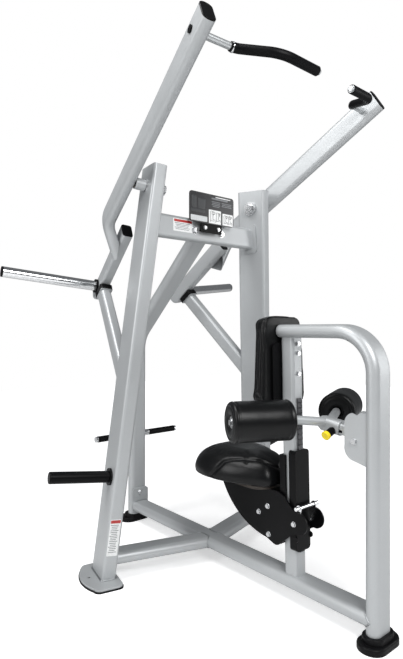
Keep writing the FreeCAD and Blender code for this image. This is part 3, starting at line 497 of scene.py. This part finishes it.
def smooth_once(mesh, factor):
    """Move every vertex towards the mean of its neighbours."""
    total = [Vector() for _ in mesh.vertices]
    count = [0] * len(mesh.vertices)
    for edge in mesh.edges:
        a, b = edge.vertices
        total[a] += mesh.vertices[b].co
        total[b] += mesh.vertices[a].co
        count[a] += 1
        count[b] += 1
    for vertex in mesh.vertices:
        if count[vertex.index]:
            vertex.co = vertex.co.lerp(total[vertex.index] / count[vertex.index], factor)


def refine(obj):
    """One level of subdivision, applied, with fresh normals."""
    subdivision = obj.modifiers.new("subdivision", "SUBSURF")
    subdivision.levels = subdivision.render_levels = 1
    bake(obj)
    for polygon in obj.data.polygons:
        polygon.use_smooth = True


def press(obj, depth_at):
    """Push vertices inwards by depth_at(point, normal), for seams and creases."""
    moves = [(v, v.normal.copy(), depth_at(v.co, v.normal)) for v in obj.data.vertices]
    for vertex, normal, depth in moves:
        if depth:
            vertex.co -= normal * depth
    obj.data.update()


def stitches(name, path, obj, body, pitch=0.0062, radius=0.00055):
    """Row of thread stitches laid on an object's surface near a closed path."""
    graph = bpy.context.evaluated_depsgraph_get()
    tree = BVHTree.FromObject(obj, graph)
    length = sum((b - a).length for a, b in zip(path, path[1:] + path[:1]))
    points = []
    for p in resample(path, int(length / pitch), True):
        spot, normal, _, _ = tree.find_nearest(p)
        points.append((spot, normal))
    shapes = []
    for (a, na), (b, _) in zip(points, points[1:]):
        way = b - a
        run = [a + way * 0.16 - na * 0.0003, a + way * 0.28 + na * radius,
               a + way * 0.55 + na * radius, a + way * 0.68 - na * 0.0003]
        shapes.append(tube(run, radius, 6))
    return many(name, shapes, thread, body)


# seat cushion
cushion_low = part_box("seat_cushion")[0][2]
cushion = padded_copy("seat_cushion", "seat_cushion_cover", BODY_SEAT, 0.008, 0.003,
                      lambda p: p.z < cushion_low + 0.008)
CREASE_DEPTH = CREASE_WIDTH = 0.0075
CREASE_LEFT = [at(*p) for p in ((-170, 668, 436), (-168, 649, 449), (-159, 622, 482), (-140, 602, 511),
                                (-121, 574, 522), (-95, 533, 529), (-73, 488, 528), (-43, 451, 520),
                                (-23, 437, 508), (0, 424, 497))]
CREASE = CREASE_LEFT + [Vector((-p.x, p.y, p.z)) for p in reversed(CREASE_LEFT[:-1])]


def line_distance(p, line):
    """Distance from a point to a polyline."""
    best = 1.0
    for a, b in zip(line, line[1:]):
        spot, share = intersect_point_line(p, a, b)
        spot = a if share < 0.0 else b if share > 1.0 else spot
        best = min(best, (p - spot).length)
    return best


def cushion_press(p, normal):
    """Depth of the sewn fold that runs from side to side over the cushion's nose."""
    gap = line_distance(p, CREASE) / CREASE_WIDTH
    return CREASE_DEPTH * math.exp(-gap * gap) if gap < 3.0 else 0.0


refine(cushion)
press(cushion, cushion_press)
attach(cushion, BODY_SEAT)
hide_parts("seat_cushion")

# chest pad
def chest_depth(p):
    """Distance of a point from the pad's back, in metres."""
    return (p - seat_at(0, PAD_BACK, 0)).dot(SEAT_BACK)


def chest_press(p, normal):
    """Depth of the two sewn seams round the pad's sides."""
    side = max(0.0, 1.0 - abs(normal.dot(SEAT_BACK)) ** 3)
    near = (chest_depth(p) - 0.050) / 0.0040
    far = (chest_depth(p) - 0.012) / 0.0040
    return side * (0.0032 * math.exp(-near * near) + 0.0022 * math.exp(-far * far))


chest = padded_copy("chest_pad", "chest_pad_cover", BODY_FRAME, 0.007, 0.003,
                    lambda p: chest_depth(p) < 0.007)
refine(chest)
press(chest, chest_press)
seam = []
chest_middle = seat_at(0.0, PAD_BACK + 54.0, PAD_MIDDLE)
for k in range(96):
    turn = 2 * math.pi * k / 96
    seam.append(chest_middle + X * (0.150 * math.cos(turn)) + SEAT_UP * (0.190 * math.sin(turn)))
stitches("chest_stitches", seam, chest, BODY_FRAME)
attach(chest, BODY_FRAME)
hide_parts("chest_pad")


# knee rollers
def roller(side, name, body):
    """Foam roller with sewn end discs, a dished end and soft pull marks."""
    inner, outer = (at(-x * side, y, z) for x, y, z in (AXLE_INNER, AXLE_OUTER))
    way = (outer - inner).normalized()
    long = (outer - inner).length
    r, bore, corner = 0.0715, 0.0132, 0.013

    def barrel(s):
        """Radius along the roller: crowned, nipped at the sewn end seams."""
        middle = 1.0 - ((s - long / 2) / (long / 2)) ** 2
        nip = sum(math.exp(-((s - place) / 0.0028) ** 2) for place in (0.017, long - 0.017))
        return r - 0.0008 + 0.0012 * middle - 0.0022 * nip
    profile = [(0.0125, bore), (0.0125, 0.0200), (0.004, 0.0225), (0.0012, 0.030), (0.0, 0.044)]
    profile += [(0.0004, 0.052), (0.0018, 0.0545), (0.0004, 0.0570)]
    for k in range(7):
        t = math.radians(90.0 * k / 6)
        profile.append((corner - corner * math.cos(t), r - corner + corner * math.sin(t)))
    steps = 46
    for k in range(1, steps):
        s = corner + (long - 2 * corner) * k / steps
        profile.append((s, barrel(s)))
    for k in range(7):
        t = math.radians(90.0 * k / 6)
        profile.append((long - corner + corner * math.sin(t), r - corner + corner * math.cos(t)))
    profile += [(long - 0.0004, 0.0570), (long - 0.0018, 0.0545), (long - 0.0004, 0.052)]
    profile += [(long, 0.044), (long - 0.001, 0.032), (long - 0.0045, 0.0262), (long - 0.0096, 0.0245),
                (long - 0.0096, bore)]

    def wobble(s, t):
        """Slight unevenness of the foam."""
        spot = Vector((s * 22.0, math.cos(t) * 1.4, math.sin(t) * 1.4))
        return 0.00055 * noise.noise(spot)
    verts, faces = revolve(profile, inner, way, 112, wobble)
    obj = piece(name + "_cover", verts, faces, vinyl, body)
    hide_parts(name)
    ring = revolve([(-0.0008, 0.0128), (0.0012, 0.0128), (0.0016, 0.0205), (0.0004, 0.0220),
                    (-0.0008, 0.0215)], outer - way * 0.0083, way, 40)
    many(name + "_washer", [ring], zinc, BODY_KNEE)


roller(1, "roller_left", "roller_left")
roller(-1, "roller_right", "roller_right")

# ---------------------------------------------------------------- welds
welds = []
for rear in (False, True):
    path = []
    for k in range(72):
        u, v = oval(k / 72)
        y = SPINE_Y - TUBE_HALF - SPINE_PLATE - 1.0 if rear else oval_reach(u) + 1.0
        path.append(at(u, y, RAIL_Z + v))
    welds.append(bead(path, 0.0030))
for side in (1, -1):
    start = Vector((*SIDE_RAIL_START, RAIL_Z))
    end = Vector((-SIDE_RAIL_END[0] * side, SIDE_RAIL_END[1], RAIL_Z))
    along = (end - start).normalized()
    across = along.cross(Z).normalized()
    path = []
    for k in range(72):
        u, v = oval(k / 72)
        face = TUBE_HALF + math.sqrt(max(TUBE_HALF ** 2 - v * v, 0.0))
        p = start + across * u
        t = (-side * face - p.x) / along.x
        p = p + along * (t + 1.0)
        path.append(at(p.x, p.y, RAIL_Z + v))
    welds.append(bead(path, 0.0030))
many("rail_welds", welds, weld_steel, BODY_FRAME)

foot_welds = []
for side in (1, -1):
    ring = []
    for ku, kf, start in ((1, 1, 0), (-1, 1, 90), (-1, -1, 180), (1, -1, 270)):
        for k in range(7):
            t = math.radians(start + 90.0 * k / 6)
            ring.append((60.0 + ku * 18.0 + 13.0 * math.cos(t), -3.0 + kf * 62.0 + 13.0 * math.sin(t)))
    path = []
    for a, f in ring:
        n = FOOT_START
        for _ in range(4):
            p = wing(a, f + LEAN * n, n, side)
            n += (FOOT_TOP - p.z) * 1000.0 / math.cos(TILT)
        path.append(wing(a, f + LEAN * n, n, side))
    foot_welds.append(bead(path, 0.0034))
many("foot_welds", foot_welds, weld_steel, BODY_FRAME)

for side, label in ((1, "left"), (-1, "right")):
    body = "arm_" + label
    long = Vector((ARM_TOP[0] - ARM_BEND[0], ARM_TOP[1] - ARM_BEND[1], 0)).normalized()
    f0, n0 = ARM_TOP[0] - long.x * HANDLE_BACK, ARM_TOP[1] - long.y * HANDLE_BACK
    centre = wing(ARM_FACE, f0, n0, side)
    axis = wing_way(-1, 0, 0, side)
    ring = [centre + (wing_way(0, math.cos(t), math.sin(t), side) * 0.0132)
            for t in (2 * math.pi * k / 40 for k in range(40))]
    many("handle_weld_" + label, [bead(ring, 0.0018)], weld_steel, body)
    edge = wing(GRIP_EDGE, f0, n0, side)
    band = revolve([(0.0, 0.0126), (0.0, 0.0165), (0.0012, 0.0176), (0.0062, 0.0176),
                    (0.0074, 0.0165), (0.0074, 0.0126)], edge, axis, 48)
    many("grip_ring_" + label, [band], chrome, body)

# ---------------------------------------------------------------- placard
front = at(*PLACARD_FRONT)
U, V = X, Z


def sign(name, blocks, material, centre=front, u=U, v=V, thick=0.0003):
    """Flat printed areas, each (across, up, wide, tall, corner) in millimetres from the middle."""
    shapes = [plate(centre + u * (x / 1000) + v * (z / 1000), u, v, w / 1000, h / 1000, thick,
                    c / 1000) for x, z, w, h, c in blocks]
    return many(name, shapes, material, BODY_FRAME)


sign("placard_strip", [(-78, -50, 96, 24, 4)], ink_pale)
sign("placard_boxes", [(16, -33, 74, 62, 3), (95, -37, 66, 54, 3)], ink_white)
sign("placard_bars", [(45, 50, 100, 7, 2), (22, 36, 52, 3.2, 1), (22, 29, 48, 3.2, 1),
                      (22, 22, 52, 3.2, 1), (22, 15, 40, 3.2, 1), (88, 36, 62, 3.2, 1),
                      (88, 29, 58, 3.2, 1), (88, 22, 62, 3.2, 1)], ink_grey)
sign("placard_heading", [(66, 58, 92, 4, 1.5)], ink_white)
sign("placard_figures", [(-106, 22, 26, 56, 6), (-62, 18, 42, 48, 6), (-85, -16, 80, 14, 4)], ink_dim)


def pictogram(x, z, scale, lean):
    """Plain stick pictogram of a seated user under two arms."""
    def spot(a, b):
        return front + U * ((x + a * scale) / 1000) + V * ((z + b * scale) / 1000) - Y * 0.0004
    head = [spot(lean + 3.6 * math.cos(t), 11 + 3.6 * math.sin(t))
            for t in (2 * math.pi * k / 20 for k in range(20))]
    lines = [[(lean, 7), (0, -3), (1, -8)], [(1, -8), (9, -8), (9, -16)], [(lean, 5), (7, 9), (9, 15)],
             [(9, 15), (-6, 17)], [(-9, -16), (-9, 17)], [(-9, -12), (4, -12)]]
    shapes = [tube(head, 0.0009, 6, True)]
    for line in lines:
        shapes.append(tube(resample([spot(a, b) for a, b in line], 12, False), 0.0009, 6))
    return shapes


many("placard_pictograms", pictogram(3, -34, 1.5, 0) + pictogram(36, -34, 1.3, 3)
     + pictogram(82, -38, 1.2, 2) + pictogram(110, -38, 1.2, -2), ink_black, BODY_FRAME)

# crossbeam sticker
sticker = at(-146.0, BEAM_FRONT, 1500.0)
sign("beam_label", [(0, 0, 108, 56, 3)], ink_white, sticker)
sign("beam_label_header", [(0, 19, 100, 11, 2)], ink_red, sticker - Y * 0.0003)
sign("beam_label_rows", [(-4, 8 - 6.5 * k, 84 - 9 * (k % 3), 2.4, 0.8) for k in range(5)], ink_grey,
     sticker - Y * 0.0003)

# upright label
label_n = -1462.0
label_at = wing(62.0, 71.0 + LEAN * label_n, label_n)
label_u = wing_way(-1, 0, 0)
label_v = wing_way(0, LEAN, 1)
sign("upright_label", [(0, 0, 46, 150, 3)], ink_white, label_at, label_u, label_v)
step = label_u.cross(label_v) * 0.0003
sign("upright_label_header", [(0, 66, 42, 13, 2)], ink_red, label_at + step,
     label_u, label_v)
sign("upright_label_rows", [(-3 + (k % 2) * 2, 52 - 7.4 * k, 34 - 5 * (k % 3), 2.6, 0.8)
                            for k in range(16)], ink_grey, label_at + step, label_u,
     label_v)

# ---------------------------------------------------------------- floor, light, camera
FLOOR_SIZE, CELLS = 14.0, 8
verts = [Vector((FLOOR_SIZE * (i / CELLS - 0.5), FLOOR_SIZE * (j / CELLS - 0.5), -0.0005))
         for j in range(CELLS + 1) for i in range(CELLS + 1)]
faces = [(j * (CELLS + 1) + i, j * (CELLS + 1) + i + 1, (j + 1) * (CELLS + 1) + i + 1,
          (j + 1) * (CELLS + 1) + i) for j in range(CELLS) for i in range(CELLS)]
floor_mesh = bpy.data.meshes.new("floor")
floor_mesh.from_pydata([tuple(v) for v in verts], [], faces)
floor = bpy.data.objects.new("floor", floor_mesh)
bpy.context.collection.objects.link(floor)
floor_material, floor_tree, floor_bsdf = shader("floor", (0.9, 0.9, 0.9), 0.8,
                                               Emission_Color=(1.0, 1.0, 1.0, 1.0))
floor_tone = texture(floor_tree, "ShaderNodeTexNoise", 2.0, Detail=3.0)
floor_tones = [(0.3, (0.87,) * 3), (0.7, (0.89,) * 3)]
floor_tree.links.new(ramp(floor_tree, floor_tone.outputs["Fac"], floor_tones),
                     floor_bsdf.inputs["Base Color"])
floor_fade = texture(floor_tree, "ShaderNodeTexGradient", 1.0, (0.22, 0.22, 0.22),
                     gradient_type="SPHERICAL")
# The glow whitens the floor for the camera and lights nothing.
floor_seen = floor_tree.nodes.new("ShaderNodeLightPath")
floor_glow = floor_tree.nodes.new("ShaderNodeMath")
floor_glow.operation = "MULTIPLY"
floor_tree.links.new(floor_seen.outputs["Is Camera Ray"], floor_glow.inputs[0])
floor_tree.links.new(spread(floor_tree, floor_fade.outputs["Fac"], 1.0, 0.42), floor_glow.inputs[1])
floor_tree.links.new(floor_glow.outputs["Value"], floor_bsdf.inputs["Emission Strength"])
floor_material.cycles.emission_sampling = "NONE"
floor.data.materials.append(floor_material)

world = bpy.data.worlds.new("studio")
bpy.context.scene.world = world
world.use_nodes = True
sky = world.node_tree
sky.nodes["Background"].inputs["Color"].default_value = (0.93, 0.96, 1.0, 1.0)
sky.nodes["Background"].inputs["Strength"].default_value = 0.16
backdrop = sky.nodes.new("ShaderNodeBackground")
backdrop.inputs["Strength"].default_value = 1.0
backdrop.inputs["Color"].default_value = (1.0, 1.0, 1.0, 1.0)
seen = sky.nodes.new("ShaderNodeLightPath")
either = sky.nodes.new("ShaderNodeMixShader")
sky.links.new(seen.outputs["Is Camera Ray"], either.inputs["Fac"])
sky.links.new(sky.nodes["Background"].outputs["Background"], either.inputs[1])
sky.links.new(backdrop.outputs["Background"], either.inputs[2])
sky.links.new(either.outputs["Shader"], sky.nodes["World Output"].inputs["Surface"])


def softbox(name, place, target, size, power):
    """Large area light aimed at a point."""
    data = bpy.data.lights.new(name, "AREA")
    data.shape = "RECTANGLE"
    data.size, data.size_y = size
    data.energy = power
    obj = bpy.data.objects.new(name, data)
    obj.location = place
    obj.rotation_euler = (Vector(target) - Vector(place)).to_track_quat("-Z", "Y").to_euler()
    bpy.context.collection.objects.link(obj)


softbox("key", (-1.0, -3.0, 3.0), (0, 0, 0.9), (1.6, 1.6), 97)
softbox("top", (-1.6, 0.4, 3.9), (0, 0, 0.8), (1.5, 1.5), 70)
softbox("left", (-4.0, 0.6, 2.3), (0, 0, 1.0), (1.3, 2.2), 66)
softbox("right", (2.8, -2.4, 1.5), (0.4, 0, 0.9), (1.0, 2.2), 30)
bpy.context.scene.view_settings.view_transform = "Standard"

camera_data = bpy.data.cameras.new("camera")
camera_data.lens = 28.02
camera_data.sensor_width = 36.0
camera_data.clip_end = 60.0
camera = bpy.data.objects.new("camera", camera_data)
camera.location = (-1.536, -1.671, 1.041)
camera.rotation_euler = (math.radians(90.0), 0.0, math.radians(-39.9))
bpy.context.collection.objects.link(camera)
bpy.context.scene.camera = camera
